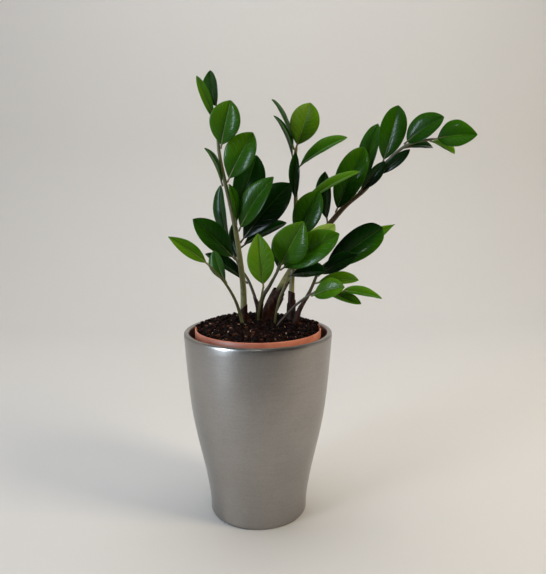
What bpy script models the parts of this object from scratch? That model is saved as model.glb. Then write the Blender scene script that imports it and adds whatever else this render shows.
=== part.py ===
"""A potted zz plant: ten stems with glossy leaflets, soil, a plastic nursery pot and a metallic cachepot.

The frame: +Z is up, +X is to the right, and the plant is seen from -Y. The origin is the centre of the
cachepot's flat underside. Lengths in the tables are in millimetres, and MM turns them into metres.
"""
import math

import bmesh
import bpy
from mathutils import Vector, noise

MM = 0.001
GAP = 0.3                     # clearance between neighbouring solids

# Cachepot: the decorative outer pot, a turned ceramic shell.
POT_HEIGHT = 180
POT_WALL = 5.0
POT_FLOOR = 7
POT_OUTLINE = [(47.0, 2.5), (47.6, 17), (52.1, 45), (58.6, 75), (64.0, 105), (67.6, 141), (70.1, 177)]
POT_SEGMENTS = 48

# Nursery pot: a thin plastic grower's pot, wedged where the cachepot narrows.
INNER_BASE_Z = 54
INNER_TOP_Z = 182.5
INNER_BASE_R = 48.8
INNER_SHOULDER_R = 57.0       # outer radius just under the lip band
INNER_LIP_R = 59.4            # outer radius of the lip band
INNER_LIP_HEIGHT = 8
INNER_WALL = 1.4
DRAIN_COUNT = 6
DRAIN_CIRCLE_R = 30
DRAIN_R = 4.5
INNER_SEGMENTS = 40

# Soil: fills the nursery pot and heaps up at the back left.
SOIL_EDGE_Z = 179.5
SOIL_DOME = 4.0
SOIL_BACK_RISE = 3.5          # how much higher the soil stands at the back edge
SOIL_HEAP = (-32, 30, 13, 2.5)    # x, y, spread and height of the heap
SOIL_ROUGHNESS = 0.8
SOIL_RING_COUNT = 8

# Rhizome: the lumpy tuber that every stem grows from.
RHIZOME_CENTRE = (10, 17, 160)
RHIZOME_SIZE = (33, 19, 13)   # half sizes
RHIZOME_LUMP = 0.12

# Stems: route of the centre line from the rhizome up, radius at the soil and radius at the far end.
STEM_SIDES = 8
STEM_STEPS = 3                # rings between two route points
SOIL_SOCKET = 0.35            # how much wider a socket in the soil is than its stem
STEMS = {
    "a": ([(-9, 18, 160), (-14, 18, 184), (-14, 15, 216), (-18, 9, 255), (-23, 4, 288), (-30, 0, 320),
           (-35, -3, 349), (-36, -2, 383)], 4.2, 1.2),
    "b": ([(27, 18, 160), (32, 20, 184), (33, 18, 225), (35, 15, 264), (36, 13, 297), (35, 10, 339),
           (36, 9, 350)], 3.4, 1.6),
    "c": ([(9, 25, 160), (8, 28, 184), (25, 28, 220), (41, 29, 245), (59, 29, 265), (73, 29, 282),
           (87, 28, 298), (104, 26, 312), (115, 23, 328), (127, 19, 342), (140, 15, 353), (156, 11, 357),
           (164, 9, 358)], 4.8, 1.1),
    "d": ([(-10, 10, 160), (-15, 7, 184), (-21, 6, 206), (-31, 2, 225), (-41, -1, 237), (-46, -3, 243)],
          2.0, 0.9),
    "e": ([(16, 5, 160), (17, -2, 181), (24, -4, 192), (36, -8, 206), (50, -12, 217), (62, -14, 221),
           (75, -16, 220)], 1.7, 0.8),
    "f": ([(33, 12, 160), (36, 10, 184), (41, 11, 199), (51, 13, 216), (60, 15, 236), (75, 17, 247),
           (89, 19, 254)], 2.7, 1.0),
    "g": ([(1, 11, 160), (0, 11, 184), (1, 6, 198), (4, -2, 216), (5, -4, 222)], 1.5, 0.9),
    "h": ([(-1, 30, 160), (0, 37, 184), (-1, 34, 198), (-9, 31, 222), (-18, 28, 237), (-27, 28, 257)],
          2.4, 1.0),
    "i": ([(0, 19, 160), (0, 20, 184), (4, 12, 208), (10, 8, 219), (15, 4, 229), (21, 0, 241)], 3.3, 1.2),
    "j": ([(15, 13, 160), (16, 12, 184), (20, 6, 208), (26, 4, 223), (29, 3, 235)], 1.4, 0.9),
}

# Lean: how far the end and the middle of each stem stand back from the route above (forward when below 0).
# A stem and its leaflets move and grow along lines from LEAN_CENTRE, which keeps the front outline.
LEAN_CENTRE = (-557.5, 314.8)     # y and z; x is 0
LEAN_CURVE = 1.2
LEANS = {"a": (-26, 0), "b": (24, 0), "c": (8, 24), "d": (-20, 0), "e": (-18, 0), "f": (10, 0),
         "g": (-14, 0), "h": (20, 0), "i": (-9, 0), "j": (0, 0)}

# Leaflets of each stem: place along the stem (0 foot, 1 end), reach from the stem to the tip,
# blade width, and the way that the upper face looks.
LEAFLETS = {
    "a": [(1.00, (-6, 6, 34), 20, (-7, -7, 3)),
          (0.95, (-17, -8, 39), 11, (2, -9, 3)),
          (0.86, (12, -13, 39), 28, (-1, -10, 1)),
          (0.71, (26, -9, 43), 29, (-2, -10, 2)),
          (0.70, (-18, -5, 32), 18, (8, -2, 5)),
          (0.58, (23, 3, 53), 29, (3, -9, 2)),
          (0.51, (35, -20, 49), 26, (-3, -9, 5)),
          (0.54, (-4, -13, 36), 12, (7, -6, 2)),
          (0.46, (50, 4, 55), 33, (0, -9, 5)),
          (0.44, (46, 6, 23), 20, (0, -5, 9))],
    "b": [(1.00, (12, -8, 39), 27, (1, -10, 2)),
          (0.97, (-22, 12, 46), 20, (9, -1, 4)),
          (0.85, (-20, -8, 37), 18, (8, -2, 6)),
          (0.80, (47, -8, 27), 23, (-4, -5, 8)),
          (0.68, (-1, -11, 45), 11, (-4, -9, 1)),
          (0.50, (22, -14, 47), 28, (-2, -9, 4)),
          (0.65, (60, -2, 35), 18, (-3, -4, 8))],
    "c": [(0.40, (-6, -7, 50), 18, (-6, -8, 1)),
          (0.45, (22, -9, 63), 28, (-2, -10, 2)),
          (0.58, (11, 0, 62), 21, (-7, -8, 1)),
          (0.56, (20, -13, 30), 13, (3, -9, 3)),
          (0.71, (9, -8, 53), 25, (0, -10, 1)),
          (0.66, (28, -12, 22), 10, (3, -8, 4)),
          (0.83, (29, -18, 24), 26, (-1, -9, 6)),
          (0.82, (29, 8, 0), 20, (0, -5, 8)),
          (1.00, (36, -11, 3), 29, (0, -9, 5)),
          (0.95, (23, -4, -13), 16, (4, -7, 7))],
    "d": [(1.00, (-35, -10, 27), 14, (1, -8, 4)),
          (0.59, (-11, 6, 31), 18, (-6, -8, 1))],
    "e": [(0.67, (27, -20, 9), 21, (0, -8, 6)),
          (1.00, (39, -2, -7), 16, (0, -4, 9)),
          (0.80, (34, -12, -11), 12, (0, -6, 6))],
    "f": [(0.69, (58, 2, 38), 29, (0, -10, 2)),
          (1.00, (46, 12, 24), 14, (-1, -9, 4)),
          (0.62, (36, -16, 21), 18, (0, -8, 6)),
          (0.56, (41, -14, 4), 18, (0, -6, 8))],
    "g": [(1.00, (-5, -12, 51), 25, (0, -10, 1))],
    "h": [(1.00, (-8, -5, 59), 20, (-8, -7, 1)),
          (0.88, (-39, -20, 40), 25, (-2, -8, 6)),
          (0.60, (-43, 4, 27), 20, (0, -4, 9)),
          (0.84, (-3, 12, 40), 16, (-8, -6, 0))],
    "i": [(1.00, (20, -22, 43), 33, (0, -10, 4)),
          (0.92, (12, 2, 42), 24, (-1, -10, 2)),
          (0.96, (54, -18, 34), 30, (1, -9, 5))],
    "j": [(0.93, (35, -13, 5), 24, (0, -5, 8)),
          (1.00, (43, -2, 45), 24, (-2, -10, 1))],
}

# One leaflet blade: place along the blade and half width, as shares of its length and its half width.
BLADE_STATIONS = [(0.10, 0.22), (0.24, 0.66), (0.40, 0.96), (0.56, 0.98), (0.72, 0.76), (0.88, 0.36)]
BLADE_THICKNESS = 1.1
BLADE_ARCH = 0.06             # height of the blade's bow over its length
BLADE_FOLD = math.radians(14)     # how far each half rises from the midrib
STALK_R = 0.9                 # radius of the short stalk that joins the blade to the stem

COLOURS = {
    "glazed_metal": (0.20, 0.20, 0.21),
    "terracotta_plastic": (0.52, 0.14, 0.06),
    "soil": (0.030, 0.014, 0.008),
    "rhizome": (0.28, 0.19, 0.10),
    "stem": (0.16, 0.17, 0.05),
    "leaf": (0.035, 0.15, 0.02),
}


def clear_scene():
    for old in list(bpy.data.objects):
        bpy.data.objects.remove(old, do_unlink=True)


def make_material(name, colour, roughness, metallic=0.0):
    material = bpy.data.materials.new(name)
    material.use_nodes = True
    shader = material.node_tree.nodes["Principled BSDF"]
    shader.inputs["Base Color"].default_value = (*colour, 1.0)
    shader.inputs["Roughness"].default_value = roughness
    shader.inputs["Metallic"].default_value = metallic
    return material


def add_object(name, shape, material):
    """Turns a bmesh into a smooth-shaded object and frees the bmesh."""
    bmesh.ops.recalc_face_normals(shape, faces=shape.faces)
    mesh = bpy.data.meshes.new(name)
    shape.to_mesh(mesh)
    shape.free()
    mesh.shade_smooth()
    mesh.set_sharp_from_angle(angle=math.radians(50))
    if material:
        mesh.materials.append(material)
    piece = bpy.data.objects.new(name, mesh)
    bpy.context.scene.collection.objects.link(piece)
    return piece


def add_cutter(name, shape):
    cutter = add_object(name, shape, None)
    cutter.hide_render = True
    cutter.display_type = "WIRE"
    return cutter


def cut(piece, cutter):
    modifier = piece.modifiers.new("cut_" + cutter.name, "BOOLEAN")
    modifier.operation = "DIFFERENCE"
    modifier.solver = "EXACT"
    modifier.object = cutter


def smooth_route(points, steps):
    """Reads a Catmull-Rom curve through the points, with the given number of steps between two of them."""
    points = [Vector(point) for point in points]
    ends = [2 * points[0] - points[1]] + points + [2 * points[-1] - points[-2]]
    route = []
    for before, start, end, after in zip(ends, ends[1:], ends[2:], ends[3:]):
        for step in range(steps):
            t = step / steps
            bend = (2 * before - 5 * start + 4 * end - after) * t * t
            twist = (3 * start - before - 3 * end + after) * t * t * t
            route.append((2 * start + (end - before) * t + bend + twist) / 2)
    route.append(points[-1])
    return route


def add_ring(shape, points):
    return [shape.verts.new(Vector(point) * MM) for point in points]


def bridge(shape, first, second):
    """Joins two rings of the same length with quads; a ring of one point makes a fan."""
    count = max(len(first), len(second))
    for k in range(count):
        corners = [first[k % len(first)], first[(k + 1) % len(first)],
                   second[(k + 1) % len(second)], second[k % len(second)]]
        distinct = list(dict.fromkeys(corners))
        shape.faces.new(distinct)


def turned(profile, segments):
    """Turns a closed profile, which starts and ends on the axis, about Z."""
    shape = bmesh.new()
    rings = []
    for radius, height in profile:
        if radius == 0:
            rings.append(add_ring(shape, [(0, 0, height)]))
        else:
            angles = [2 * math.pi * k / segments for k in range(segments)]
            rings.append(add_ring(shape, [(radius * math.cos(a), radius * math.sin(a), height)
                                          for a in angles]))
    for lower, upper in zip(rings, rings[1:]):
        bridge(shape, lower, upper)
    return shape


def make_cachepot(material):
    outer = [(p.x, p.y) for p in smooth_route([(r, z, 0) for r, z in POT_OUTLINE], 2)]
    rim_z = POT_OUTLINE[-1][1]
    rim_r = POT_OUTLINE[-1][0] - POT_WALL / 2
    rim_rise = POT_HEIGHT - rim_z
    rim = [(rim_r + POT_WALL / 2 * math.cos(a), rim_z + rim_rise * math.sin(a))
           for a in (math.radians(d) for d in (40, 90, 140))]
    inner = [(r - POT_WALL, z) for r, z in reversed(outer) if z > POT_FLOOR + 6]
    foot = [(0, 0), (44.6, 0), (46.3, 0.8)]
    floor = [(inner[-1][0] - 1.2, POT_FLOOR + 2), (inner[-1][0] - 5, POT_FLOOR), (0, POT_FLOOR)]
    shape = turned(foot + outer + rim + inner + floor, POT_SEGMENTS)
    return add_object("cachepot", shape, material)


def inner_pot_radius(height):
    """Outer radius of the nursery pot's tapered wall."""
    share = (height - INNER_BASE_Z) / (INNER_TOP_Z - INNER_LIP_HEIGHT - INNER_BASE_Z)
    return INNER_BASE_R + (INNER_SHOULDER_R - INNER_BASE_R) * share


def make_nursery_pot(material):
    step_z = INNER_TOP_Z - INNER_LIP_HEIGHT
    edge = INNER_LIP_R - INNER_WALL / 2
    floor_z = INNER_BASE_Z + INNER_WALL
    profile = [(0, INNER_BASE_Z), (INNER_BASE_R - 1, INNER_BASE_Z), (INNER_BASE_R, INNER_BASE_Z + 1),
               (INNER_SHOULDER_R, step_z), (INNER_LIP_R - 0.4, step_z + 0.2), (INNER_LIP_R, step_z + 0.8),
               (INNER_LIP_R, INNER_TOP_Z - 0.6), (edge, INNER_TOP_Z),
               (INNER_LIP_R - INNER_WALL, INNER_TOP_Z - 0.6),
               (INNER_LIP_R - INNER_WALL, step_z + INNER_WALL + 0.4),
               (INNER_SHOULDER_R - INNER_WALL, step_z + INNER_WALL - 0.4),
               (inner_pot_radius(floor_z) - INNER_WALL, floor_z), (0, floor_z)]
    pot = add_object("nursery_pot", turned(profile, INNER_SEGMENTS), material)
    drains = bmesh.new()
    for k in range(DRAIN_COUNT):
        angle = 2 * math.pi * k / DRAIN_COUNT
        drain = bmesh.ops.create_cone(drains, cap_ends=True, segments=12, radius1=DRAIN_R * MM,
                                      radius2=DRAIN_R * MM, depth=4 * INNER_WALL * MM)
        place = Vector((DRAIN_CIRCLE_R * math.cos(angle), DRAIN_CIRCLE_R * math.sin(angle), INNER_BASE_Z))
        bmesh.ops.translate(drains, verts=drain["verts"], vec=place * MM)
    cut(pot, add_cutter("drain_cutter", drains))
    return pot


def soil_height(x, y, edge_r):
    heap_x, heap_y, spread, rise = SOIL_HEAP
    share = (x * x + y * y) / (edge_r * edge_r)
    heap = rise * math.exp(-((x - heap_x) ** 2 + (y - heap_y) ** 2) / (2 * spread * spread))
    rough = SOIL_ROUGHNESS * noise.noise(Vector((x, y, 0)) / 7) * (1 - share ** 4)
    back = SOIL_BACK_RISE * min(max(y / edge_r, 0), 1)
    return SOIL_EDGE_Z + SOIL_DOME * (1 - share) + back + heap * (1 - share ** 6) + rough


def make_soil(material):
    """A plug that fills the nursery pot, with a domed and heaped top."""
    floor_z = INNER_BASE_Z + INNER_WALL + GAP
    ledge_z = INNER_TOP_Z - INNER_LIP_HEIGHT + INNER_WALL + GAP
    lip_r = INNER_LIP_R - INNER_WALL - GAP
    shape = bmesh.new()
    angles = [2 * math.pi * k / INNER_SEGMENTS for k in range(INNER_SEGMENTS)]
    sides = [(inner_pot_radius(floor_z) - INNER_WALL - GAP, floor_z),
             (INNER_SHOULDER_R - INNER_WALL - GAP, ledge_z),
             (lip_r, ledge_z + 0.8)]
    rings = [add_ring(shape, [(0, 0, floor_z)])]
    for radius, height in sides:
        rings.append(add_ring(shape, [(radius * math.cos(a), radius * math.sin(a), height) for a in angles]))
    for k in range(SOIL_RING_COUNT, 0, -1):
        radius = lip_r * k / SOIL_RING_COUNT
        rings.append(add_ring(shape, [(radius * math.cos(a), radius * math.sin(a),
                                       soil_height(radius * math.cos(a), radius * math.sin(a), lip_r))
                                      for a in angles]))
    rings.append(add_ring(shape, [(0, 0, soil_height(0, 0, lip_r))]))
    for lower, upper in zip(rings, rings[1:]):
        bridge(shape, lower, upper)
    return add_object("soil", shape, material)


def rhizome_shape(swell):
    """A lumpy ellipsoid, made larger all round by swell."""
    shape = bmesh.new()
    bmesh.ops.create_icosphere(shape, subdivisions=3, radius=1)
    for vert in shape.verts:
        lump = 1 + RHIZOME_LUMP * noise.noise(vert.co * 1.7)
        size = [half * lump + swell for half in RHIZOME_SIZE]
        vert.co = (Vector(RHIZOME_CENTRE) + Vector(a * b for a, b in zip(vert.co, size))) * MM
    return shape


def lean_at(stem, share):
    """How far back a stem leans at a share of its route, in millimetres: nothing up to its second point."""
    last = len(STEMS[stem][0]) - 1
    above = max(0, (share * last - 1) / (last - 1))
    end, middle = LEANS[stem]
    return end * above ** LEAN_CURVE + 4 * middle * above * (1 - above)


def lean_growth(y, lean):
    """How much a thing at depth y grows when it leans back along the lines from LEAN_CENTRE."""
    return (y + lean - LEAN_CENTRE[0]) / (y - LEAN_CENTRE[0])


def stem_route(stem):
    points = STEMS[stem][0]
    leaned = []
    for k, (x, y, z) in enumerate(points):
        lean = lean_at(stem, k / (len(points) - 1))
        grow = lean_growth(y, lean)
        leaned.append((x * grow, y + lean, LEAN_CENTRE[1] + (z - LEAN_CENTRE[1]) * grow))
    return smooth_route(leaned, STEM_STEPS)


def stem_radius(stem, share):
    """Radius of a stem at a share of its length: it swells towards its foot."""
    foot, end = STEMS[stem][1:]
    return end + (foot - end) * (1 - share) ** 1.3


def stem_shape(stem, swell):
    """A tapered tube along a stem's route, made larger all round by swell."""
    route = stem_route(stem)
    shape = bmesh.new()
    across = Vector((1, 0, 0))
    rings = []
    for k, centre in enumerate(route):
        ahead = (route[min(k + 1, len(route) - 1)] - route[max(k - 1, 0)]).normalized()
        across = (across - ahead * across.dot(ahead)).normalized()
        other = ahead.cross(across)
        radius = stem_radius(stem, k / (len(route) - 1)) + swell
        rings.append(add_ring(shape, [centre + across * radius * math.cos(a) + other * radius * math.sin(a)
                                      for a in (2 * math.pi * s / STEM_SIDES for s in range(STEM_SIDES))]))
    for lower, upper in zip(rings, rings[1:]):
        bridge(shape, lower, upper)
    shape.faces.new(reversed(rings[0]))
    shape.faces.new(rings[-1])
    return shape


def stem_place(stem, share):
    """Centre, direction and radius of a stem at a share of its number of steps."""
    route = stem_route(stem)
    place = share * (len(route) - 1)
    k = min(int(place), len(route) - 2)
    centre = route[k].lerp(route[k + 1], place - k)
    return centre, (route[k + 1] - route[k]).normalized(), stem_radius(stem, share)


def leaflet_shape(stem, share, reach, width, looks):
    """A closed, bowed and slightly folded blade on a short stalk that ends just off its stem."""
    centre, ahead, radius = stem_place(stem, share)
    lean = lean_at(stem, share)
    grow = lean_growth(centre.y - lean, lean)
    tip = centre + Vector(reach) * grow
    chord = Vector(reach).normalized()
    aside = (chord - ahead * chord.dot(ahead)).normalized()
    if share < 1:
        foot = centre + aside * (radius + GAP + STALK_R * abs(chord.dot(ahead)))
    else:
        foot = centre + ahead * (GAP + STALK_R * abs(chord.dot(aside)))
    chord = (tip - foot).normalized()
    length = (tip - foot).length
    up = Vector(looks) - chord * Vector(looks).dot(chord)
    up.normalize()
    side = chord.cross(up)
    shape = bmesh.new()
    corners = [(-1, 0), (-0.5, 1), (0, 1), (0.5, 1), (1, 0), (0.5, -1), (0, -1.3), (-0.5, -1)]
    stalk = [(STALK_R * math.cos(a), STALK_R * math.sin(a))
             for a in (math.radians(d) for d in (180, 135, 90, 45, 0, -45, -90, -135))]
    rings = [add_ring(shape, [foot + side * x + up * z for x, z in stalk])]
    for along, share_wide in BLADE_STATIONS:
        half = width * grow / 2 * share_wide
        bow = 4 * BLADE_ARCH * length * along * (1 - along)
        middle = foot + chord * length * along + up * bow
        rings.append(add_ring(shape, [middle + side * (x * half)
                                      + up * (abs(x) * half * math.tan(BLADE_FOLD) + z * BLADE_THICKNESS / 2)
                                      for x, z in corners]))
    rings.append(add_ring(shape, [tip]))
    for lower, upper in zip(rings, rings[1:]):
        bridge(shape, lower, upper)
    shape.faces.new(reversed(rings[0]))
    return shape


def build():
    clear_scene()
    finish = {name: make_material(name, colour, 0.5) for name, colour in COLOURS.items()}
    finish["glazed_metal"] = make_material("glazed_metal", COLOURS["glazed_metal"], 0.38, 0.85)
    finish["leaf"] = make_material("leaf", COLOURS["leaf"], 0.25)
    make_cachepot(finish["glazed_metal"])
    make_nursery_pot(finish["terracotta_plastic"])
    soil = make_soil(finish["soil"])
    add_object("rhizome", rhizome_shape(0), finish["rhizome"])
    rhizome_cutter = add_cutter("rhizome_cutter", rhizome_shape(GAP))
    cut(soil, rhizome_cutter)
    for stem in STEMS:
        piece = add_object("stem_" + stem, stem_shape(stem, 0), finish["stem"])
        cut(piece, rhizome_cutter)
        cut(soil, add_cutter("socket_" + stem, stem_shape(stem, SOIL_SOCKET)))
        for number, design in enumerate(LEAFLETS[stem], 1):
            add_object("leaflet_%s%d" % (stem, number), leaflet_shape(stem, *design), finish["leaf"])


build()
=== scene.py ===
import math
import random

import bmesh
import bpy
import numpy as np
from mathutils import Matrix, Vector, noise
from mathutils.bvhtree import BVHTree


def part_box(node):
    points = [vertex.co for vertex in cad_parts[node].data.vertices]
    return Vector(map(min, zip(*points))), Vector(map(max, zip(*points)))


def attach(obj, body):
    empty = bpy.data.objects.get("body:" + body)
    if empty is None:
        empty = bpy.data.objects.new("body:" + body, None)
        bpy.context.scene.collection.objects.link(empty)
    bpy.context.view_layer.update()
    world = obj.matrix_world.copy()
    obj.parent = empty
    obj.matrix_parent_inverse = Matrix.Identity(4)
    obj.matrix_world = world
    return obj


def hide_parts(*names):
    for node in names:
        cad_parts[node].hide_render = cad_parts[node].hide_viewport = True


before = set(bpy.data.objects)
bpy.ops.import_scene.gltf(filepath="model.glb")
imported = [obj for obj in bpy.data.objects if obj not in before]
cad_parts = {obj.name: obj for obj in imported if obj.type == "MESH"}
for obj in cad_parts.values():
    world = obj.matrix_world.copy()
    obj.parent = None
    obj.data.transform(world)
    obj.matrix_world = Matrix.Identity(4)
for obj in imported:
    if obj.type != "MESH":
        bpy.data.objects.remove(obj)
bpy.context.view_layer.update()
print("frame loaded:", len(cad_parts), "nodes")


# helpers that work as a hand would

def deselectAll():
    if bpy.context.object and bpy.context.object.mode != "OBJECT":
        bpy.ops.object.mode_set(mode="OBJECT")
    bpy.ops.object.select_all(action="DESELECT")


def takeUp(piece):                       # the one selected and active object
    deselectAll()
    piece.select_set(True)
    bpy.context.view_layer.objects.active = piece
    return piece


def editing(piece):
    takeUp(piece)
    bpy.ops.object.mode_set(mode="EDIT")
    bpy.ops.mesh.select_mode(type="VERT")


def doneEditing():
    bpy.ops.object.mode_set(mode="OBJECT")


def pick(piece, test):                   # selects the points whose place passes the test
    mesh = bmesh.from_edit_mesh(piece.data)
    for vert in mesh.verts:
        vert.select_set(bool(test(vert.co)))
    mesh.select_flush(True)
    bmesh.update_edit_mesh(piece.data)


def pickAll():
    bpy.ops.mesh.select_all(action="SELECT")


def newest(name):
    piece = bpy.context.object
    piece.name = name
    piece.data.name = name
    return piece


def settle(piece):                       # puts the place, turn and size into the mesh
    takeUp(piece)
    bpy.ops.object.transform_apply(location=True, rotation=True, scale=True)
    return piece


def modify(piece, kind, **values):       # adds a modifier and applies it
    takeUp(piece)
    made = piece.modifiers.new(kind.title(), kind)
    for key, value in values.items():
        setattr(made, key, value)
    bpy.ops.object.modifier_apply(modifier=made.name)


def smoothOver(piece, degrees=40):
    takeUp(piece)
    bpy.ops.object.shade_smooth_by_angle(angle=math.radians(degrees))


def joinUp(pieces, name):
    deselectAll()
    for piece in pieces:
        piece.select_set(True)
    bpy.context.view_layer.objects.active = pieces[0]
    if len(pieces) > 1:
        bpy.ops.object.join()
    return newest(name)


def pointsOf(piece):
    flat = np.empty(len(piece.data.vertices) * 3)
    piece.data.vertices.foreach_get("co", flat)
    return flat.reshape(-1, 3)


def movePoints(piece, points):
    piece.data.vertices.foreach_set("co", np.asarray(points, float).ravel())
    piece.data.update()


def spinProfile(name, profile, steps):   # turns a line of (radius, height) round the upright axis
    deselectAll()
    first = profile[0]
    bpy.ops.mesh.primitive_plane_add(size=0.001, location=(0, 0, 0))
    piece = newest(name)
    editing(piece)
    pickAll()
    bpy.ops.mesh.merge(type="CENTER")
    bpy.ops.transform.translate(value=(first[0], 0, first[1]))
    for before, after in zip(profile, profile[1:]):
        step = (after[0] - before[0], 0, after[1] - before[1])
        bpy.ops.mesh.extrude_region_move(TRANSFORM_OT_translate={"value": step})
    pickAll()
    bpy.ops.mesh.spin(steps=steps, angle=math.tau, center=(0, 0, 0), axis=(0, 0, 1))
    pickAll()
    bpy.ops.mesh.remove_doubles(threshold=0.00002)
    bpy.ops.mesh.normals_make_consistent(inside=False)
    doneEditing()
    return piece


def copyOf(piece, name):                 # a copy that has a mesh of its own
    copy = bpy.data.objects.new(name, piece.data.copy())
    bpy.context.scene.collection.objects.link(copy)
    return copy


def discard(pieces):
    for piece in pieces:
        bpy.data.objects.remove(piece)


def around(radius, height, offsets):     # profile points at (out, up) from one place
    return [(radius + out, height + up) for out, up in offsets]


def paint(piece, *finishes):
    piece.data.materials.clear()
    for finish in finishes:
        piece.data.materials.append(finish)


def noteValue(piece, name, values):      # a number for each point, which a finish can read
    layer = piece.data.attributes.new(name, "FLOAT", "POINT")
    layer.data.foreach_set("value", np.broadcast_to(values, len(piece.data.vertices)).astype(np.float32))


def adopt(piece, slot, *nodes):          # the piece belongs to the plant, in place of these nodes
    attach(piece, "root")
    if nodes:
        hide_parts(*nodes)


# finishes: colours and surfaces

class Wire:                              # a socket that sums can be written with
    def __init__(self, finish, socket):
        self.finish = finish
        self.socket = socket

    def maths(self, operation, first, second=0.0):
        return self.finish.node("ShaderNodeMath", {"operation": operation}, {0: first, 1: second})

    def __add__(self, other):
        return self.maths("ADD", self, other)

    __radd__ = __add__

    def __sub__(self, other):
        return self.maths("SUBTRACT", self, other)

    def __rsub__(self, other):
        return self.maths("SUBTRACT", other, self)

    def __mul__(self, other):
        return self.maths("MULTIPLY", self, other)

    __rmul__ = __mul__

    def __abs__(self):
        return self.maths("ABSOLUTE", self)


class Finish:                            # a material, built up node by node
    def __init__(self, name):
        self.material = bpy.data.materials.new(name)
        self.material.use_nodes = True
        self.tree = self.material.node_tree
        self.shader = self.tree.nodes["Principled BSDF"]

    def node(self, kind, settings=None, values=None, output=0):
        made = self.tree.nodes.new(kind)
        for key, value in (settings or {}).items():
            if key == "stops":
                self.setStops(made.color_ramp, value)
            else:
                setattr(made, key, value)
        for key, value in (values or {}).items():
            self.feed(made.inputs[key], value)
        return Wire(self, made.outputs[output])

    def setStops(self, ramp, stops):
        while len(ramp.elements) < len(stops):
            ramp.elements.new(1.0)
        for element, (place, colour) in zip(ramp.elements, stops):
            element.position = place
            element.color = (*colour, 1.0)

    def feed(self, socket, value):
        if isinstance(value, Wire):
            self.tree.links.new(value.socket, socket)
        elif socket.type == "RGBA":
            socket.default_value = (*value, 1.0)
        else:
            socket.default_value = value

    def place(self, output="Object"):
        return self.node("ShaderNodeTexCoord", output=output)

    def parts(self, vector):             # the x, y and z of a vector
        made = self.node("ShaderNodeSeparateXYZ", None, {"Vector": vector})
        return [Wire(self, socket) for socket in made.socket.node.outputs]

    def stretched(self, vector, scale):
        return self.node("ShaderNodeMapping", None, {"Vector": vector, "Scale": scale})

    def grain(self, vector, scale, detail=2.0, roughness=0.5):
        values = {"Vector": vector, "Scale": scale, "Detail": detail, "Roughness": roughness}
        return self.node("ShaderNodeTexNoise", None, values)

    def noted(self, name):               # a number that the piece carries
        return self.node("ShaderNodeAttribute", {"attribute_name": name}, output="Fac")

    def step(self, value, low, high):    # 0 below low and 1 above high, eased between them
        values = {"Value": value, "From Min": low, "From Max": high}
        return self.node("ShaderNodeMapRange", {"interpolation_type": "SMOOTHSTEP"}, values)

    def ramp(self, value, *stops):
        return self.node("ShaderNodeValToRGB", {"stops": stops}, {"Fac": value})

    def mix(self, factor, first, second):  # sockets 6 and 7 and output 2 are the colour ones
        return self.node("ShaderNodeMix", {"data_type": "RGBA"}, {0: factor, 6: first, 7: second}, 2)

    def bump(self, height, distance, strength=1.0):
        values = {"Height": height, "Distance": distance, "Strength": strength}
        return self.node("ShaderNodeBump", None, values)

    def shade(self, **values):           # Base_Color for "Base Color"
        for key, value in values.items():
            self.feed(self.shader.inputs[key.replace("_", " ")], value)
        return self.material


def leafFinish(name, under):
    look = leafLook
    finish = Finish(name)
    width, along, _ = finish.parts(finish.place("UV"))
    across = abs(width * 2 - 1)          # 0 on the midrib, 1 at the edge
    body = finish.place()
    patches = finish.grain(body, scale=55.0, detail=3.0)
    pores = finish.grain(body, scale=900.0)
    rib = 1 - finish.step(across, 0.01, look["ribWidth"])
    slant = (along * look["veins"] - across * look["veinSlant"]) * math.tau
    vein = finish.step(finish.node("ShaderNodeMath", {"operation": "SINE"}, {0: slant}), 0.55, 1.0)
    vein = vein * finish.step(across, 0.03, 0.2) * (1 - finish.step(across, 0.7, 1.0))
    edge = finish.step(across, look["edgeStart"], 1.0)
    # the noted value holds the leaflet's own tone together with painted shade and painted light
    age = finish.noted("age") + (patches - 0.5) * look["patchy"] + vein * look["veinPale"]
    colour = finish.ramp(age, *look["ages"])
    if under:
        colour = finish.mix(look["underShare"], colour, look["underside"])
    pale = finish.ramp(age, *look["ribAges"])
    colour = finish.mix(rib * look["ribShare"], colour, pale)
    colour = finish.mix(edge * look["edgeShare"], colour, pale)
    height = vein * -0.45 + patches * 0.9 + pores * 0.05 - rib * 0.5
    rough = look["underRoughness"] if under else look["roughness"]
    return finish.shade(Base_Color=colour, Roughness=rough + patches * 0.06 + pores * 0.05,
                        Normal=finish.bump(height, distance=0.0006, strength=0.8),
                        Specular_IOR_Level=look["shine"], Coat_Roughness=look["coatRoughness"],
                        Coat_Weight=0.0 if under else look["coat"])


def stemFinish():
    finish = Finish("stemSkin")
    body = finish.place()
    streaks = finish.grain(finish.stretched(body, (1.0, 1.0, 0.08)), scale=900.0, detail=3.0)
    flecks = finish.grain(finish.stretched(body, (1.0, 1.0, 0.4)), scale=420.0)
    tone = finish.noted("tone") + (streaks - 0.5) * stemLook["streaky"]
    colour = finish.ramp(tone, *stemLook["tones"])
    dark = finish.step(flecks, 0.58, 0.7) * stemLook["fleckStrength"]
    colour = finish.mix(dark, colour, stemLook["fleck"])
    return finish.shade(Base_Color=colour, Roughness=stemLook["roughness"] + streaks * 0.2,
                        Normal=finish.bump(streaks + flecks * 0.5, distance=0.0004, strength=0.6))


def potFinish():
    finish = Finish("pewterGlaze")
    body = finish.place()
    cloud = finish.grain(body, scale=26.0, detail=3.0)
    mottle = finish.grain(body, scale=900.0, roughness=0.6)
    brushed = finish.grain(finish.stretched(body, (1.0, 1.0, 18.0)), scale=45.0, detail=3.0)
    colour = finish.ramp(cloud * 0.35 + mottle * 0.45 + brushed * 0.2, *potLook["glaze"])
    rough = potLook["roughness"] + (mottle - 0.5) * 0.12 + (cloud - 0.5) * 0.05
    return finish.shade(Base_Color=colour, Metallic=potLook["metallic"], Roughness=rough,
                        Normal=finish.bump(mottle * 0.7 + brushed * 0.3, distance=0.0002, strength=0.25))


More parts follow.
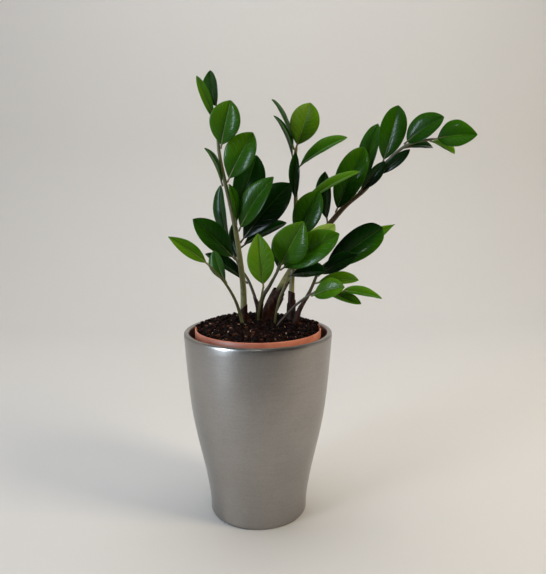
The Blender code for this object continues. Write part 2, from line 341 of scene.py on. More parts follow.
def nurseryFinish():
    finish = Finish("terracottaPlastic")
    body = finish.place()
    cloud = finish.grain(body, scale=60.0, detail=3.0)
    fine = finish.grain(body, scale=1400.0)
    dirt = finish.step(finish.grain(body, scale=190.0, detail=4.0, roughness=0.7), 0.6, 0.75)
    colour = finish.ramp(cloud, *nurseryLook["plastic"])
    colour = finish.mix(dirt * nurseryLook["dirty"], colour, nurseryLook["dust"])
    return finish.shade(Base_Color=colour, Roughness=nurseryLook["roughness"] + fine * 0.12,
                        Normal=finish.bump(fine, distance=0.0002, strength=0.3))


def crumbFinish(name, stops, roughness=0.9):
    finish = Finish(name)
    body = finish.place()
    lumps = finish.grain(body, scale=260.0, detail=4.0, roughness=0.65)
    fine = finish.grain(body, scale=1500.0, detail=3.0, roughness=0.6)
    colour = finish.ramp(lumps * 0.6 + fine * 0.4, *stops)
    return finish.shade(Base_Color=colour, Roughness=roughness, Specular_IOR_Level=soilLook["shine"],
                        Normal=finish.bump(lumps + fine * 0.6, distance=0.0008, strength=0.9))


# the cachepot

potLook = {                              # the point lists are (out, up) from the place they are named for
    "steps": 128,
    "wall": 0.0050,
    "floor": 0.0070,
    "leastRadius": 0.0455,               # anything nearer the axis is the inside
    "rimRound": 0.0020,
    "footRound": 0.0022,
    "smooth": 3,                         # points of the line for each point of the outside
    "hollow": 0.0015,                    # how high the underside stands inside the foot ring
    "ringWidth": 0.006,
    "foot": ((-0.004, 0.0012), (-0.002, 0.0), (-0.0006, 0.0003)),
    "rim": ((-0.0002, -0.0012), (-0.0009, -0.0003), (-0.0022, 0.0)),
    "rimInside": ((0.0012, -0.0002), (0.0003, -0.0010)),
    "corner": ((-0.0015, 0.001), (-0.004, 0.0)),
    "cornerHeight": 0.004,
    "softEdge": 0.0004,
    "glaze": ((0.32, (0.285, 0.268, 0.253)), (0.5, (0.338, 0.318, 0.301)), (0.68, (0.391, 0.368, 0.349))),
    "metallic": 0.92,
    "roughness": 0.31,
}


def outerProfile(node):                  # (radius, height) of the outside of a turned node, from the foot up
    points = pointsOf(node)
    radius = np.hypot(points[:, 0], points[:, 1])
    found = {}
    for r, z in zip(radius, points[:, 2]):
        key = round(z, 4)
        found[key] = max(found.get(key, 0.0), r)
    return [(found[z], z) for z in sorted(found)]


def smoothLine(points, steps):           # a Catmull-Rom line through the points
    ends = [tuple(2 * a - b for a, b in zip(points[0], points[1]))]
    ends += list(points) + [tuple(2 * a - b for a, b in zip(points[-1], points[-2]))]
    line = []
    for p, q, r, s in zip(ends, ends[1:], ends[2:], ends[3:]):
        for step in range(steps):
            t = step / steps
            line.append(tuple(
                (2 * b + (c - a) * t + (2 * a - 5 * b + 4 * c - d) * t * t
                 + (3 * b - a - 3 * c + d) * t ** 3) / 2
                for a, b, c, d in zip(p, q, r, s)))
    line.append(points[-1])
    return line


def makeCachepot():
    look = potLook
    low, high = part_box("cachepot")
    outside = [p for p in outerProfile(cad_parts["cachepot"]) if p[0] > look["leastRadius"]]
    body = [p for p in outside if low.z + look["footRound"] < p[1] < high.z - look["rimRound"]]
    line = smoothLine(body, look["smooth"])
    footRadius, topRadius = outside[0][0], max(p[0] for p in outside)
    base = low.z + look["floor"]
    under = [(0.0, low.z + look["hollow"]), (footRadius - look["ringWidth"], low.z + look["hollow"])]
    foot = around(footRadius, low.z, look["foot"])
    rim = around(topRadius, high.z, look["rim"])
    rim += around(topRadius - look["wall"], high.z, look["rimInside"])
    inside = [(r - look["wall"], z) for r, z in reversed(line) if z > base + look["cornerHeight"]]
    bottom = around(inside[-1][0], base, look["corner"]) + [(0.0, base)]
    piece = spinProfile("cachepotTurned", under + foot + line + rim + inside + bottom, look["steps"])
    modify(piece, "BEVEL", width=look["softEdge"], segments=2, limit_method="ANGLE",
           angle_limit=math.radians(35))
    smoothOver(piece, 50)
    paint(piece, potFinish())
    adopt(piece, "glazed_metal", "cachepot")


makeCachepot()
print("cachepot made")


# the nursery pot

nurseryLook = {                          # point lists as above
    "steps": 96,
    "wall": 0.0014,
    "lipHeight": 0.008,
    "lipRadius": 0.0597,
    "shoulder": 0.0570,
    "base": 0.0488,
    "foot": ((-0.001, 0.0), (0.0, 0.001)),
    "underLedge": ((-0.001, -0.03), (0.0, -0.0005), (0.0004, 0.0)),
    "lipFoot": ((-0.0006, 0.0), (0.0, 0.0006)),
    "lipTop": ((0.0, -0.0008), (-0.0004, -0.0002), (-0.0009, 0.0)),
    "lipInside": ((0.0002, -0.0003), (0.0, -0.001)),
    "lipUnder": 0.0006,
    "innerLedge": ((0.0, -0.0002), (-0.0008, -0.0314)),
    "innerFoot": ((0.0, 0.001), (-0.001, 0.0)),
    "plastic": ((0.3, (0.66, 0.20, 0.115)), (0.7, (0.84, 0.32, 0.20))),
    "dust": (0.10, 0.045, 0.03),
    "dirty": 0.45,
    "roughness": 0.42,
}


def makeNurseryPot():
    look = nurseryLook
    low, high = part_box("nursery_pot")
    wall, lip = look["wall"], look["lipRadius"]
    ledge = high.z - look["lipHeight"]
    profile = [(0.0, low.z)]
    profile += around(look["base"], low.z, look["foot"])
    profile += around(look["shoulder"], ledge, look["underLedge"])
    profile += around(lip, ledge, look["lipFoot"])
    profile += around(lip, high.z, look["lipTop"])
    profile += around(lip - wall, high.z, look["lipInside"])
    profile += [(lip - wall, ledge + wall + look["lipUnder"])]
    profile += around(look["shoulder"] - wall, ledge + wall, look["innerLedge"])
    profile += around(look["base"] - wall, low.z + wall, look["innerFoot"])
    profile += [(0.0, low.z + wall)]
    piece = spinProfile("nurseryPotTurned", profile, look["steps"])
    smoothOver(piece, 35)
    paint(piece, nurseryFinish())
    adopt(piece, "terracotta_plastic", "nursery_pot")


makeNurseryPot()
print("nursery pot made")


# the soil and what lies on it

soilLook = {
    "rings": 56,
    "steps": 120,
    "edge": 0.0576,
    "level": 0.1805,                     # before the surface takes its height from the frame's soil
    "surface": 0.180,                    # points above this belong to the surface
    "side": ((0.0549, 0.172), (0.0578, 0.178)),
    "footRadius": 0.046,
    "inset": 0.985,                      # reads the height a little nearer the axis, clear of the rim
    "lumps": 0.0016,
    "coarse": 160,
    "fine": 520,
    "fineShare": 0.6,
    "crumbs": {"count": 1300, "radius": 0.0572, "size": (0.0007, 0.0029), "seed": 1},
    "barkBits": {"count": 120, "radius": 0.055, "size": (0.0009, 0.0028), "seed": 2, "flat": 0.6},
    "paleBits": {"count": 90, "radius": 0.055, "size": (0.0004, 0.0016), "seed": 3, "lift": 0.6, "flat": 0.6},
    "fibres": {"count": 60, "radius": 0.052, "size": (0.002, 0.0055), "seed": 4, "lift": 0.1, "flat": 0.9},
    "spill": {"count": 260, "radii": (0.0562, 0.0592), "size": (0.0008, 0.0024), "seed": 5},
    "thread": {"thick": 0.05, "steps": 6, "step": 0.33, "bend": 1.1, "lift": 0.12},
    "spillAngles": (-8, 192, 120),       # least, most and most likely, in degrees from +X
    "spillSink": 0.0004,                 # how far below the lip's top the spilt crumbs start
    "earth": ((0.38, (0.002, 0.0009, 0.0007)), (0.52, (0.010, 0.004, 0.0028)), (0.70, (0.085, 0.034, 0.020))),
    "bark": ((0.35, (0.03, 0.010, 0.006)), (0.7, (0.17, 0.062, 0.032))),
    "pale": ((0.35, (0.42, 0.25, 0.17)), (0.7, (0.75, 0.55, 0.43))),
    "shine": 0.15,
}


def surfaceUnder(tree, x, y):            # where a plumb line meets the surface, and the way it faces
    return tree.ray_cast(Vector((x, y, 0.3)), Vector((0, 0, -1)))[:2]


def treeOf(piece):
    points = [Vector(p) for p in pointsOf(piece)]
    return BVHTree.FromPolygons(points, [tuple(f.vertices) for f in piece.data.polygons])


def makeSoil():
    look = soilLook
    guide = treeOf(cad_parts["soil"])
    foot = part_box("soil")[0].z
    rings = [look["edge"] * (1 - k / look["rings"]) for k in range(look["rings"] + 1)]
    profile = [(0.0, foot), (look["footRadius"], foot)] + list(look["side"])
    profile += [(r, look["level"]) for r in rings]
    piece = spinProfile("soilSurface", profile, look["steps"])
    points = pointsOf(piece)
    for k, (x, y, z) in enumerate(points):
        if z < look["surface"]:
            continue
        place, _ = surfaceUnder(guide, x * look["inset"], y * look["inset"])
        level = place.z if place else z
        spot = Vector((x, y, 0.0))
        rough = noise.fractal(spot * look["coarse"], 1.0, 2.0, 4)
        rough += look["fineShare"] * noise.noise(spot * look["fine"])
        points[k, 2] = level + rough * look["lumps"]
    movePoints(piece, points)
    smoothOver(piece, 60)
    paint(piece, crumbFinish("pottingSoil", look["earth"]))
    adopt(piece, "soil", "soil")
    return piece


def crumbShape(name, size, seed):        # a lumpy grain, modelled once
    deselectAll()
    bpy.ops.mesh.primitive_ico_sphere_add(subdivisions=1, radius=1.0)
    piece = newest(name)
    dice = random.Random(seed)
    points = pointsOf(piece)
    for k, p in enumerate(points):
        points[k] = p * (0.75 + 0.5 * dice.random()) * np.array(size)
    movePoints(piece, points)
    return piece


def scatter(name, shapes, tree, count, radius, size, seed, lift=0.3, flat=0.0):
    # copies of the shapes on the surface of the tree; the flatter, the less they tip
    dice = random.Random(seed)
    copies = []
    while len(copies) < count:
        reach = radius * math.sqrt(dice.random())
        angle = dice.random() * math.tau
        place, normal = surfaceUnder(tree, reach * math.cos(angle), reach * math.sin(angle))
        if place is None:
            continue
        shape = dice.choice(shapes)
        grown = size[0] + (size[1] - size[0]) * dice.random() ** 2
        turn = Matrix.Rotation(dice.random() * math.tau, 3, "Z")
        tip = Matrix.Rotation((dice.random() - 0.5) * math.pi * (1 - flat), 3, "X")
        lean = normal.to_track_quat("Z", "Y").to_matrix()
        matrix = np.array(lean @ turn @ tip)
        copy = copyOf(shape, name)
        movePoints(copy, (pointsOf(shape) * grown) @ matrix.T + np.array(place + normal * grown * lift))
        copies.append(copy)
    return joinUp(copies, name)


def spillOnRim(name, shapes, height, count, radii, size, seed):  # crumbs lying along the back of the lip
    dice = random.Random(seed)
    copies = []
    for _ in range(count):
        angle = math.radians(dice.triangular(*soilLook["spillAngles"]))
        reach = radii[0] + (radii[1] - radii[0]) * dice.random()
        grown = size[0] + (size[1] - size[0]) * dice.random() ** 2
        turn = np.array(Matrix.Rotation(dice.random() * math.tau, 3, (dice.random(), dice.random(), 0.2)))
        copy = copyOf(dice.choice(shapes), name)
        rest = (reach * math.cos(angle), reach * math.sin(angle), height + grown * 0.3)
        movePoints(copy, (pointsOf(copy) * grown) @ turn.T + np.array(rest))
        copies.append(copy)
    return joinUp(copies, name)


def fibreShape(name, seed):              # a short bent thread of root
    look = soilLook["thread"]
    deselectAll()
    bpy.ops.mesh.primitive_circle_add(vertices=4, radius=look["thick"], fill_type="NGON",
                                      rotation=(0, math.pi / 2, 0), location=(-1, 0, 0))
    piece = newest(name)
    settle(piece)
    editing(piece)
    pickAll()
    dice = random.Random(seed)
    heading = 0.0
    for _ in range(look["steps"]):
        heading += (dice.random() - 0.5) * look["bend"]
        step = (look["step"] * math.cos(heading), look["step"] * math.sin(heading),
                (dice.random() - 0.45) * look["lift"])
        bpy.ops.mesh.extrude_region_move(TRANSFORM_OT_translate={"value": step})
    pickAll()
    bpy.ops.mesh.normals_make_consistent(inside=False)
    doneEditing()
    return piece


soil = makeSoil()
soilTree = treeOf(soil)
grains = [crumbShape("grain", (1, 0.9, 0.8), k) for k in range(4)]
chips = [crumbShape("chip", (1.5, 0.8, 0.35), 10 + k) for k in range(3)]
threads = [fibreShape("thread", 20 + k) for k in range(4)]
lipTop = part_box("nursery_pot")[1].z
crumbs = scatter("soilCrumbs", grains, soilTree, **soilLook["crumbs"])
paint(crumbs, crumbFinish("soilCrumb", soilLook["earth"]))
bark = scatter("barkChips", chips, soilTree, **soilLook["barkBits"])
paint(bark, crumbFinish("barkChip", soilLook["bark"], 0.8))
pale = scatter("paleChips", chips, soilTree, **soilLook["paleBits"])
paint(pale, crumbFinish("paleChip", soilLook["pale"], 0.75))
fibres = scatter("soilFibres", threads, soilTree, **soilLook["fibres"])
paint(fibres, crumbFinish("rootFibre", soilLook["bark"], 0.7))
spill = spillOnRim("rimCrumbs", grains, lipTop - soilLook["spillSink"], **soilLook["spill"])
paint(spill, crumbs.data.materials[0])
for piece in (crumbs, bark, pale, fibres, spill):
    smoothOver(piece, 30)
    adopt(piece, "soil")
discard(grains + chips + threads)
print("soil made")


# the stems

stemLook = {
    "smooth": 2,
    "swell": 0.00012,                    # makes up for what smoothing takes off
    "quads": 60,                         # triangles within this many degrees become quads again
    "soilHeight": 0.183,
    "streaky": 0.3,
    "roughness": 0.38,
    "tones": ((0.0, (0.012, 0.006, 0.004)), (0.25, (0.070, 0.038, 0.018)), (0.5, (0.11, 0.115, 0.030)),
              (0.75, (0.26, 0.26, 0.090)), (1.0, (0.44, 0.45, 0.21))),
    "fleck": (0.03, 0.035, 0.012),
    "fleckStrength": 0.55,
    "runs": {                            # (share of height, tone) from the soil up
        "a": ((0.0, 0.72), (0.12, 0.86), (0.35, 0.70), (0.6, 0.50), (1.0, 0.55)),
        "b": ((0.0, 0.08), (0.14, 0.10), (0.18, 0.84), (0.24, 0.60), (0.35, 0.25), (0.6, 0.30), (0.75, 0.62),
              (1.0, 0.60)),
        "c": ((0.0, 0.06), (0.15, 0.10), (0.21, 0.84), (0.27, 0.60), (0.35, 0.28), (0.6, 0.22), (1.0, 0.45)),
        "d": ((0.0, 0.62), (0.3, 0.50), (1.0, 0.60)),
        "e": ((0.0, 0.22), (0.6, 0.28), (1.0, 0.58)),
        "f": ((0.0, 0.10), (0.35, 0.20), (0.7, 0.50), (1.0, 0.60)),
        "g": ((0.0, 0.45), (1.0, 0.70)),
        "h": ((0.0, 0.20), (1.0, 0.50)),
        "i": ((0.0, 0.20), (1.0, 0.45)),
        "j": ((0.0, 0.50), (1.0, 0.80)),
    },
}


def stemCopy(letter, name):              # the frame's stem as quads, still in edit mode
    piece = copyOf(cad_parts["stem_" + letter], name)
    angle = math.radians(stemLook["quads"])
    editing(piece)
    pickAll()
    bpy.ops.mesh.remove_doubles(threshold=0.00001)
    bpy.ops.mesh.tris_convert_to_quads(face_threshold=angle, shape_threshold=angle)
    return piece


def makeStem(letter, run):
    look = stemLook
    piece = stemCopy(letter, "stemSkin_" + letter)
    bpy.ops.transform.shrink_fatten(value=look["swell"])
    doneEditing()
    modify(piece, "SUBSURF", levels=look["smooth"], render_levels=look["smooth"])
    heights = pointsOf(piece)[:, 2]
    share = (heights - look["soilHeight"]) / (heights.max() - look["soilHeight"])
    noteValue(piece, "tone", np.interp(share, *zip(*run)))
    smoothOver(piece, 60)
    paint(piece, stemPaint)
    adopt(piece, "stem", "stem_" + letter)


stemPaint = stemFinish()
for letter, run in stemLook["runs"].items():
    makeStem(letter, run)
print("stems made")


# the papery sheaths at the feet of the stems

sheathLook = {
    "foot": 0.178,
    "thick": 0.0003,
    "near": 0.010,                       # points this near the top give the stem's middle there
    "smooth": 2,
    "roughness": 0.62,
    "shine": 0.2,
    "paper": ((0.30, (0.008, 0.003, 0.002)), (0.52, (0.038, 0.013, 0.007)), (0.75, (0.16, 0.075, 0.04))),
    "wraps": {                           # stem: (top, slope in x, slope in y, how loose)
        "a": ((0.199, -3.2, 0.3, 0.0008), (0.190, -4.0, -0.8, 0.0016)),
        "b": ((0.213, 0.5, 0.2, 0.0010), (0.203, -0.7, -0.4, 0.0020)),
        "c": ((0.219, -0.8, -0.3, 0.0018), (0.211, 0.6, -0.5, 0.0032), (0.198, -0.9, -0.6, 0.0044)),
        "f": ((0.206, -0.9, 0.0, 0.0006), (0.194, 0.6, -0.5, 0.0010)),
        "h": ((0.204, 0.7, -0.3, 0.0006),),
        "i": ((0.203, 0.9, -0.4, 0.0008),),
    },
}


def sheathFinish():
    finish = Finish("paperySheath")
    body = finish.place()
    streaks = finish.grain(finish.stretched(body, (1.0, 1.0, 0.10)), scale=620.0, detail=4.0, roughness=0.6)
    patches = finish.grain(body, scale=150.0, detail=3.0)
    colour = finish.ramp(streaks * 0.7 + patches * 0.3, *sheathLook["paper"])
    return finish.shade(Base_Color=colour, Roughness=sheathLook["roughness"],
                        Specular_IOR_Level=sheathLook["shine"],
                        Normal=finish.bump(streaks, distance=0.0007, strength=0.9))


def makeSheath(letter, number, top, slopeX, slopeY, loose):
    look = sheathLook
    places = pointsOf(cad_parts["stem_" + letter])
    nearTop = places[abs(places[:, 2] - top) < look["near"]]
    centre = nearTop.mean(0) if len(nearTop) else places.mean(0)
    piece = stemCopy(letter, "sheath_%s%d" % (letter, number))
    pickAll()
    bpy.ops.mesh.bisect(plane_co=(0, 0, look["foot"]), plane_no=(0, 0, 1), clear_inner=True)
    pickAll()
    bpy.ops.mesh.bisect(plane_co=(centre[0], centre[1], top), plane_no=(slopeX, slopeY, 1), clear_outer=True)
    pickAll()
    bpy.ops.transform.shrink_fatten(value=loose)
    doneEditing()
    modify(piece, "SOLIDIFY", thickness=look["thick"], offset=-1.0)
    modify(piece, "SUBSURF", levels=look["smooth"], render_levels=look["smooth"])
    smoothOver(piece, 60)
    paint(piece, sheathPaint)
    adopt(piece, "stem")


sheathPaint = sheathFinish()
for letter, wraps in sheathLook["wraps"].items():
    for number, wrap in enumerate(wraps, 1):
        makeSheath(letter, number, *wrap)
print("sheaths made")


# the leaflets

leafLook = {
    "columns": 12,
    "rows": 18,
    "crowding": 1.25,                    # above 1, the columns crowd towards the midrib
    "start": 0.05,                       # share of the length that is stalk
    "leastWidth": 0.03,                  # share of the half width left at both ends
    "thick": 0.0007,
    "groove": 0.00045,
    "ripples": (17, 2),                  # how fast the edge's waves run along and across
    "ribThick": 0.0011,
    "ribReach": 0.97,
    "ribBack": 0.0018,                   # how far the stalk goes into the stem
    "ribDrop": 0.0004,
    "ribSizes": (1.0, 0.95, 0.9, 0.85, 0.8, 0.7, 0.6, 0.5, 0.3),
    "ribSteps": (0.02, 0.03, 0.06, 0.09, 0.15, 0.2, 0.2, 0.15),
    "ageSpread": 0.04,
    "near": 0.002,                       # these four say how a leaflet of the frame is read
    "widestAt": 0.56,
    "widestSpan": 0.06,
    "ringWidth": 0.98,                   # width of that ring, as a share of the widest
    "ribWidth": 0.06,
    "ribShare": 0.75,
    "edgeStart": 0.955,
    "edgeShare": 0.35,
    "veins": 9.0,
    "veinSlant": 2.2,
    "veinPale": 0.02,
    "patchy": 0.16,
    "roughness": 0.27,
    "underRoughness": 0.5,
    "coat": 0.08,
    "coatRoughness": 0.10,
    "shine": 0.10,
    "ages": ((0.0, (0.0006, 0.007, 0.0004)), (0.3, (0.005, 0.046, 0.0008)), (0.55, (0.036, 0.150, 0.0015)),
             (0.8, (0.12, 0.30, 0.006)), (1.0, (0.34, 0.52, 0.09))),
    "ribAges": ((0.0, (0.02, 0.07, 0.008)), (0.5, (0.12, 0.26, 0.025)), (1.0, (0.45, 0.60, 0.16))),
    "underside": (0.12, 0.22, 0.06),
    "underShare": 0.45,
}

plainLeaf = {
    "age": 0.5,                          # 0 darkest and 1 palest: the leaflet's own tone, with painted shade and painted light in it
    "widest": 0.56,                      # share of the length
    "fullness": 1.65,                    # lower is blunter
    "narrow": 1.0,
    "fold": 0.31,
    "bow": 0.24,
    "puff": 0.05,
    "wave": 0.014,
    "paintedLitHalf": 0.06,                      # painted light and shade: how much paler the half is where x is below 0, for the half that faces the light
    "tipward": 0.10,                     # how much paler the tip is than the foot
}

leafNotes = {                            # what differs from the plain leaf; the darkest ages are painted shade on leaflets that lie in shadow, and b1's high age is a painted glare
    "a1": {"age": 0.36, "widest": 0.5}, "a2": {"age": 0.62, "narrow": 0.85},
    "a3": {"age": 0.58, "fullness": 1.5, "paintedLitHalf": 0.08},
    "a4": {"age": 0.56, "fullness": 1.6, "paintedLitHalf": 0.10},
    "a5": {"age": 0.4}, "a6": {"age": 0.2}, "a7": {"age": 0.48, "widest": 0.5}, "a8": {"age": 0.42},
    "a9": {"age": 0.08}, "a10": {"age": 0.12},
    "b1": {"age": 0.80, "fold": 0.12, "fullness": 1.5}, "b2": {"age": 0.4},
    "b3": {"age": 0.3, "narrow": 1.15},
    "b4": {"age": 0.56}, "b5": {"age": 0.3}, "b6": {"age": 0.5, "paintedLitHalf": 0.10}, "b7": {"age": 0.68},
    "c1": {"age": 0.25}, "c2": {"age": 0.46, "fullness": 1.35, "tipward": 0.3},
    "c3": {"age": 0.44, "fullness": 1.35}, "c4": {"age": 0.12}, "c5": {"age": 0.45, "fullness": 1.35},
    "c6": {"age": 0.14}, "c7": {"age": 0.42, "fullness": 1.3, "widest": 0.5}, "c8": {"age": 0.1},
    "c9": {"age": 0.46, "widest": 0.45}, "c10": {"age": 0.75},
    "d1": {"age": 0.68, "widest": 0.48, "fullness": 1.9}, "d2": {"age": 0.5},
    "e1": {"age": 0.66, "fullness": 1.4}, "e2": {"age": 0.62, "widest": 0.45}, "e3": {"age": 0.62},
    "f1": {"age": 0.22, "widest": 0.6, "fullness": 1.2, "paintedLitHalf": -0.24},
    "f2": {"age": 0.70, "widest": 0.4, "fullness": 2.1}, "f3": {"age": 0.15}, "f4": {"age": 0.72},
    "g1": {"age": 0.74, "widest": 0.5, "fullness": 1.8}, "h1": {"age": 0.32}, "h2": {"age": 0.36},
    "h3": {"age": 0.08}, "h4": {"age": 0.2}, "i1": {"age": 0.60, "widest": 0.5, "paintedLitHalf": 0.08},
    "i2": {"age": 0.3}, "i3": {"age": 0.56}, "j1": {"age": 0.1}, "j2": {"age": 0.95},
}


def farthest(points):                    # the two points farthest apart, and all the distances
    gaps = np.linalg.norm(points[:, None] - points[None], axis=2)
    return (*np.unravel_index(gaps.argmax(), gaps.shape), gaps)


def unit(vector):
    return vector / np.linalg.norm(vector)


def readLeaflet(node):                   # how a leaflet of the frame lies, and its size
    look = leafLook
    points = np.unique(pointsOf(node).round(6), axis=0)
    tip, foot, gaps = farthest(points)
    if (gaps[tip] < look["near"]).sum() > (gaps[foot] < look["near"]).sum():
        tip, foot = foot, tip            # the stalk's end is a ring, so more points are near it
    footPlace = points[gaps[foot] < look["near"]].mean(0)
    chord = points[tip] - footPlace
    length = np.linalg.norm(chord)
    chord = chord / length
    along = (points - footPlace) @ chord / length
    wide = points[abs(along - look["widestAt"]) < look["widestSpan"]]
    left, right, gaps = farthest(wide)
    half = gaps[left, right] / 2 / look["ringWidth"]
    across = unit(wide[right] - wide[left])
    up = (wide[left] + wide[right]) / 2 - wide.mean(0)
    up = up - chord * (up @ chord)
    up = unit(up - across * (up @ across))
    return {"foot": footPlace, "chord": chord, "length": length, "up": up,
            "side": np.cross(chord, up), "half": half}


def outline(share, widest, fullness):    # half width along the blade, 1 at the widest
    share = np.clip(share, 0.0, 1.0)
    low, high = fullness * widest, fullness * (1 - widest)
    return share ** low * (1 - share) ** high / (widest ** low * (1 - widest) ** high)


def bladeShape():                        # flat blade: x across, y along from 0 to 1, modelled once
    look = leafLook
    deselectAll()
    bpy.ops.mesh.primitive_grid_add(x_subdivisions=look["columns"], y_subdivisions=look["rows"], size=2,
                                    calc_uvs=True)
    piece = newest("bladeShape")
    editing(piece)
    columns = [-1 + 2 * k / look["columns"] for k in range(look["columns"] + 1)]
    for x in columns:
        pick(piece, lambda co, x=x: abs(co.x - x) < 0.01)
        bpy.ops.transform.translate(value=(math.copysign(abs(x) ** look["crowding"], x) - x, 0, 0))
    pick(piece, lambda co: abs(co.x) < 0.01)
    bpy.ops.transform.translate(value=(0, 0, -look["groove"]))
    pickAll()
    bpy.ops.transform.translate(value=(0, 1, 0))
    bpy.ops.transform.resize(value=(1, 0.5, 1), center_override=(0, 0, 0))
    doneEditing()
    return piece


def ribShape():                          # stalk and raised midrib: y from 0 to 1, modelled once
    sizes, steps = leafLook["ribSizes"], leafLook["ribSteps"]
    deselectAll()
    bpy.ops.mesh.primitive_circle_add(vertices=8, radius=leafLook["ribThick"], fill_type="NGON",
                                      rotation=(-math.pi / 2, 0, 0))
    piece = newest("ribShape")
    settle(piece)
    editing(piece)
    pickAll()
    here = 0.0
    for before, size, step in zip(sizes, sizes[1:], steps):
        bpy.ops.mesh.extrude_region_move(TRANSFORM_OT_translate={"value": (0, step, 0)})
        here += step
        bpy.ops.transform.resize(value=(size / before, 1, size / before), center_override=(0, here, 0))
    pickAll()
    bpy.ops.mesh.normals_make_consistent(inside=False)
    doneEditing()
    return piece


def spineOf(seat, look, t):              # the middle line of a leaflet, bowed along its length
    hump = t * (1 - t) * look["bow"]
    return seat["foot"] + (np.outer(t, seat["chord"]) + np.outer(hump, seat["up"])) * seat["length"]


def layBlade(piece, seat, look):
    x, share, height = pointsOf(piece).T
    t = leafLook["start"] + (1 - leafLook["start"]) * share
    width = np.maximum(outline(share, look["widest"], look["fullness"]), leafLook["leastWidth"])
    half = seat["half"] * look["narrow"] * width
    away = abs(x)
    ripple = np.sin(share * leafLook["ripples"][0] + x * leafLook["ripples"][1]) * away ** 3
    lift = half * (look["fold"] * away + look["puff"] * np.sin(math.pi * away) * 2)
    lift = lift + ripple * look["wave"] * seat["half"] + height
    movePoints(piece, spineOf(seat, look, t) + np.outer(x * half, seat["side"]) + np.outer(lift, seat["up"]))


def layRib(piece, seat, look):
    x, share, z = pointsOf(piece).T
    t = share * leafLook["ribReach"] - leafLook["ribBack"] / seat["length"]
    lift = z - np.interp(share, (0.0, 0.1), (0.0, leafLook["ribDrop"]))
    movePoints(piece, spineOf(seat, look, t) + np.outer(x, seat["side"]) + np.outer(lift, seat["up"]))


def makeLeaflet(name):
    seat = readLeaflet(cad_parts["leaflet_" + name])
    dice = random.Random("leaf " + name)
    look = {**plainLeaf, **leafNotes.get(name, {})}
    blade, rib = copyOf(bladeUnit, "leaf"), copyOf(ribUnit, "leaf")
    across, share = pointsOf(blade).T[:2]
    age = look["age"] + (dice.random() - 0.5) * leafLook["ageSpread"]
    # painted light and shade: one half of the blade is made paler than the other, and the tip is made paler
    # than the foot
    noteValue(blade, "age", age - across * look["paintedLitHalf"] - (0.5 - share) * look["tipward"])
    noteValue(blade, "tone", 0.5)
    noteValue(rib, "age", age)
    noteValue(rib, "tone", 0.4 + look["age"] * 0.5)
    layBlade(blade, seat, look)
    layRib(rib, seat, look)
    modify(blade, "SOLIDIFY", thickness=leafLook["thick"], offset=-0.6, material_offset=1)
    for copy in (blade, rib):
        modify(copy, "SUBSURF", levels=1, render_levels=1)
        paint(copy, *leafPaints)
    for face in rib.data.polygons:
        face.material_index = 2
    piece = joinUp([blade, rib], "leaf_" + name)
    smoothOver(piece, 60)
    adopt(piece, "leaf", "leaflet_" + name)


leafPaints = (leafFinish("leafBlade", False), leafFinish("leafUnderside", True), stemPaint)
bladeUnit, ribUnit = bladeShape(), ribShape()
for nodeName in sorted(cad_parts):
    if nodeName.startswith("leaflet_"):
        makeLeaflet(nodeName.removeprefix("leaflet_"))
discard([bladeUnit, ribUnit])
print("leaflets made")

rhizomeTones = ((0.3, (0.14, 0.09, 0.05)), (0.7, (0.33, 0.24, 0.14)))
paint(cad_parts["rhizome"], crumbFinish("rhizomeSkin", rhizomeTones))


# the floor, the light and the camera

stageLook = {
    "floorDepth": 0.75,
    "cove": 0.45,
    "wall": 1.9,
    "width": 3.2,
    "colour": (0.80, 0.79, 0.775),
    "front": (0.17, 0.168, 0.165),       # painted shade: the sweep's colour darkens slowly towards its front edge, in place of light falling off there
    "frontFrom": -0.14,
    "frontTo": -0.66,
    "reach": 2,                          # how far the floor runs in front of the plant
    "steps": 16,
    "roughness": 0.8,
    "world": (0.80, 0.85, 0.92),
    "worldStrength": 0.10,
}


def makeStage():
    look = stageLook
    deselectAll()
    bpy.ops.mesh.primitive_plane_add(size=1, location=(0, 0, 0))
    piece = newest("paleFloor")
    editing(piece)
    pickAll()
    bpy.ops.transform.resize(value=(look["width"], look["reach"] + look["floorDepth"], 1),
                             center_override=(0, 0, 0))
    bpy.ops.transform.translate(value=(0, (look["floorDepth"] - look["reach"]) / 2, 0))
    pick(piece, lambda co: co.y > look["floorDepth"] - 0.01)
    for k in range(look["steps"]):
        a, b = math.pi / 2 * k / look["steps"], math.pi / 2 * (k + 1) / look["steps"]
        step = (0, look["cove"] * (math.sin(b) - math.sin(a)), look["cove"] * (math.cos(a) - math.cos(b)))
        bpy.ops.mesh.extrude_region_move(TRANSFORM_OT_translate={"value": step})
    bpy.ops.mesh.extrude_region_move(TRANSFORM_OT_translate={"value": (0, 0, look["wall"])})
    doneEditing()
    smoothOver(piece, 60)
    finish = Finish("palePaper")
    _, depth, _ = finish.parts(finish.place())
    # painted shade: the floor's colour darkens from the pale colour towards its front edge
    pale = finish.step(depth, look["frontTo"], look["frontFrom"])
    colour = finish.mix(pale, look["front"], look["colour"])
    paint(piece, finish.shade(Base_Color=colour, Roughness=look["roughness"]))


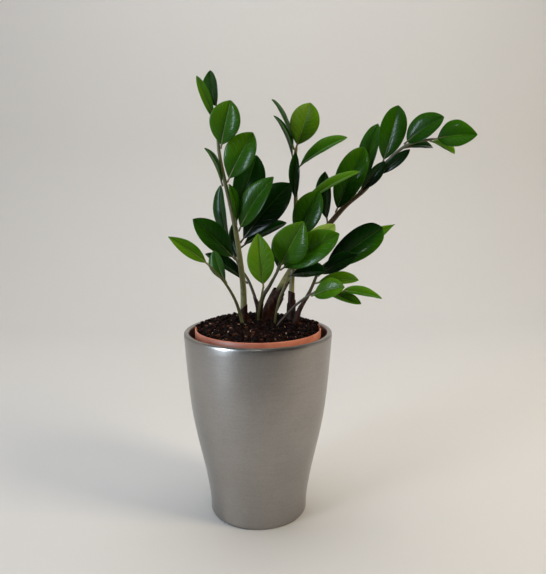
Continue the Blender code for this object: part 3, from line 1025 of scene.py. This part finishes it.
def addLight(name, place, target, size, power, colour, matte, glossy):
    data = bpy.data.lights.new(name, "AREA")
    data.shape = "RECTANGLE"
    data.size, data.size_y = size
    data.energy = power
    data.color = colour
    lamp = bpy.data.objects.new(name, data)
    bpy.context.scene.collection.objects.link(lamp)
    lamp.location = place
    lamp.visible_diffuse = matte
    lamp.visible_glossy = glossy
    lamp.rotation_euler = (Vector(target) - Vector(place)).to_track_quat("-Z", "Y").to_euler()


lights = {                               # place, aim, size, power, colour, lit matte, seen in gloss
    "windowLight": ((-1.05, -0.80, 0.62), (0, 0, 0.22), (0.36, 1.1), 6.5, (0.80, 0.89, 1.0), True, False),
    "windowGlow": ((-0.80, -0.62, 0.36), (0, 0, 0.14), (0.20, 0.66), 12.0, (0.72, 0.86, 1.0), False, True),
    "warmLight": ((1.15, -0.55, 1.00), (0, 0.1, 0.12), (0.4, 0.4), 10.0, (1.0, 0.84, 0.62), True, False),
    "topLight": ((0.0, 0.30, 1.6), (0, 0.45, 0.1), (1.4, 1.2), 11.0, (0.96, 0.98, 1.0), True, False),
    "smallLamp": ((-0.10, -1.00, 1.15), (0.03, 0, 0.3), (0.10, 0.10), 1.6, (0.95, 0.98, 1.0), False, True),
}

makeStage()
for lightName, values in lights.items():
    addLight(lightName, *values)
world = bpy.data.worlds.new("room")
bpy.context.scene.world = world
world.use_nodes = True
background = world.node_tree.nodes["Background"]
background.inputs["Color"].default_value = (*stageLook["world"], 1.0)
background.inputs["Strength"].default_value = stageLook["worldStrength"]
bpy.context.scene.view_settings.view_transform = "Standard"

cameraLook = {"place": (0.0, -0.5575, 0.3148), "down": 9.53, "turn": 0.0254, "lens": 37.63}
camera = bpy.data.objects.new("camera", bpy.data.cameras.new("camera"))
bpy.context.scene.collection.objects.link(camera)
camera.location = cameraLook["place"]
camera.rotation_euler = (math.radians(90 - cameraLook["down"]), 0, -cameraLook["turn"])
camera.data.lens = cameraLook["lens"]
bpy.context.scene.camera = camera
print("stage set")

bpy.context.view_layer.update()
